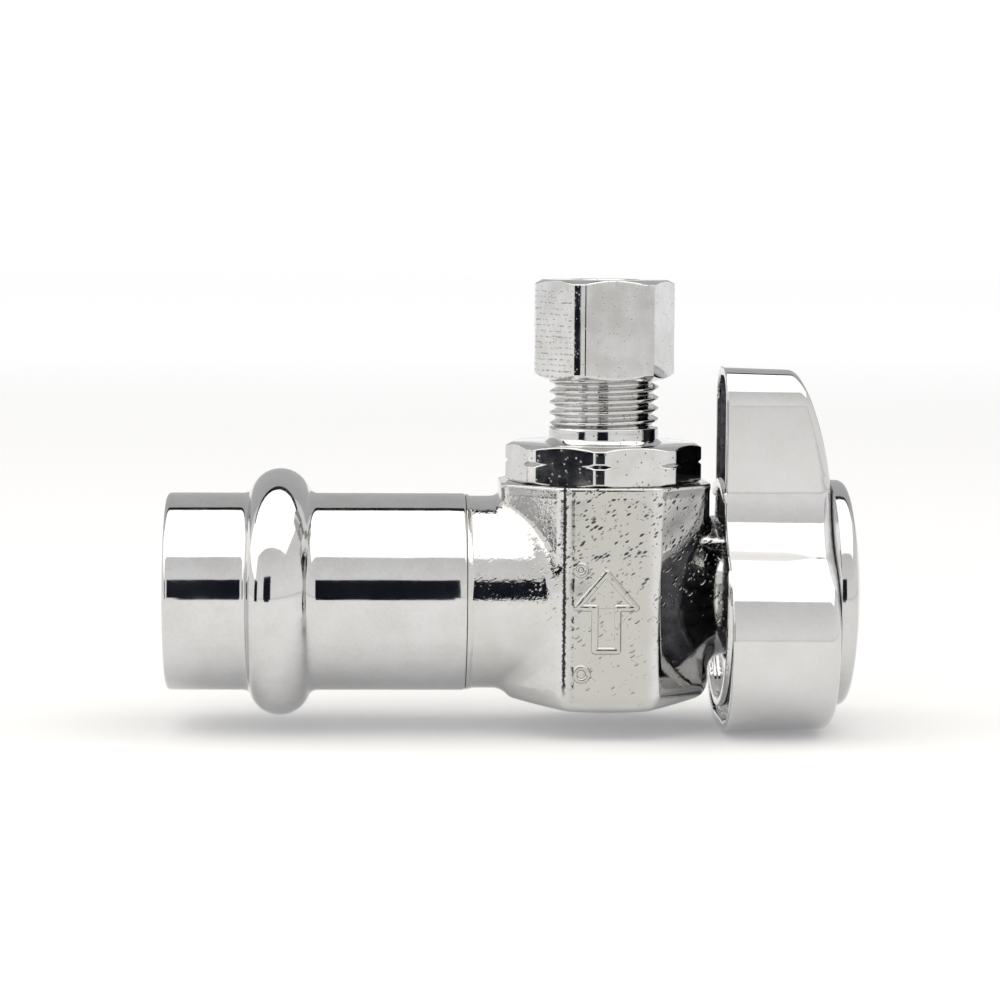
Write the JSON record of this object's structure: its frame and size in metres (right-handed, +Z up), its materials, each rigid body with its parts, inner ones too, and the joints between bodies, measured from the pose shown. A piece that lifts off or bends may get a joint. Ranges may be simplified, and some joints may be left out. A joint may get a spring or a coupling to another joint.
{
  "type": "angle stop valve",
  "caption": "Chromed quarter-turn angle stop valve with a press socket inlet, a compression outlet at right angles and a lever handle on the far end.",
  "frame": {"origin": "centre of the inlet socket's mouth", "axes": "+X along the inlet and stem axis towards the handle, +Z up along the outlet axis, -Y is the front"},
  "size_m": [0.0691, 0.0266, 0.0448],
  "materials": {
    "forged_chrome": "chrome over an unpolished forging",
    "tube_chrome": "bright chrome with fine drawing lines",
    "adapter_chrome": "bright chrome over machined brass",
    "nut_chrome": "chrome over machining marks",
    "handle_chrome": "smooth chrome over a die casting",
    "cap_chrome": "smooth chrome",
    "ball_chrome": "polished chrome",
    "stem_brass": "turned brass",
    "sleeve_brass": "bright brass",
    "seat_ptfe": "waxy white PTFE",
    "seal_rubber": "black EPDM rubber",
    "screw_steel": "zinc plated steel"
  },
  "bodies": {
    "valve": {"valve_body": "forged_chrome", "press_socket": "tube_chrome", "press_seal_ring": "seal_rubber", "outlet_adapter": "adapter_chrome", "adapter_seal_ring": "seal_rubber", "upper_ball_seat": "seat_ptfe", "lower_ball_seat": "seat_ptfe"},
    "handle_set": {"handle": "handle_chrome", "handle_cap": "cap_chrome", "handle_screw": "screw_steel", "screw_lock_washer": "screw_steel", "stem": "stem_brass", "stem_thrust_washer": "seat_ptfe", "inner_stem_o_ring": "seal_rubber", "outer_stem_o_ring": "seal_rubber"},
    "ball": {"ball": "ball_chrome"},
    "sleeve": {"compression_sleeve": "sleeve_brass"},
    "nut": {"compression_nut": "nut_chrome"}
  },
  "joints": [
    {"name": "handle_turn", "type": "hinge", "parent": "valve", "child": "handle_set", "pos_m": [0.055, 0, 0], "axis": [-1, 0, 0], "range_deg": [0, 90]},
    {"name": "ball_turn", "type": "hinge", "parent": "valve", "child": "ball", "pos_m": [0.0435, 0, 0], "axis": [-1, 0, 0], "range_deg": [0, 90]},
    {"name": "nut_travel", "type": "slide", "parent": "valve", "child": "sleeve", "axis": [0, 0, 1], "range_m": [-0.00106, 0.00423]},
    {"name": "nut_turn", "type": "hinge", "parent": "sleeve", "child": "nut", "pos_m": [0.0435, 0, 0.0264], "axis": [0, 0, 1], "range_deg": [-360, 1440]}
  ],
  "couplings": [
    {"joint": "ball_turn", "follows": "handle_turn", "ratio": 1},
    {"joint": "nut_turn", "follows": "nut_travel", "rad_per_m": 5937.1}
  ]
}
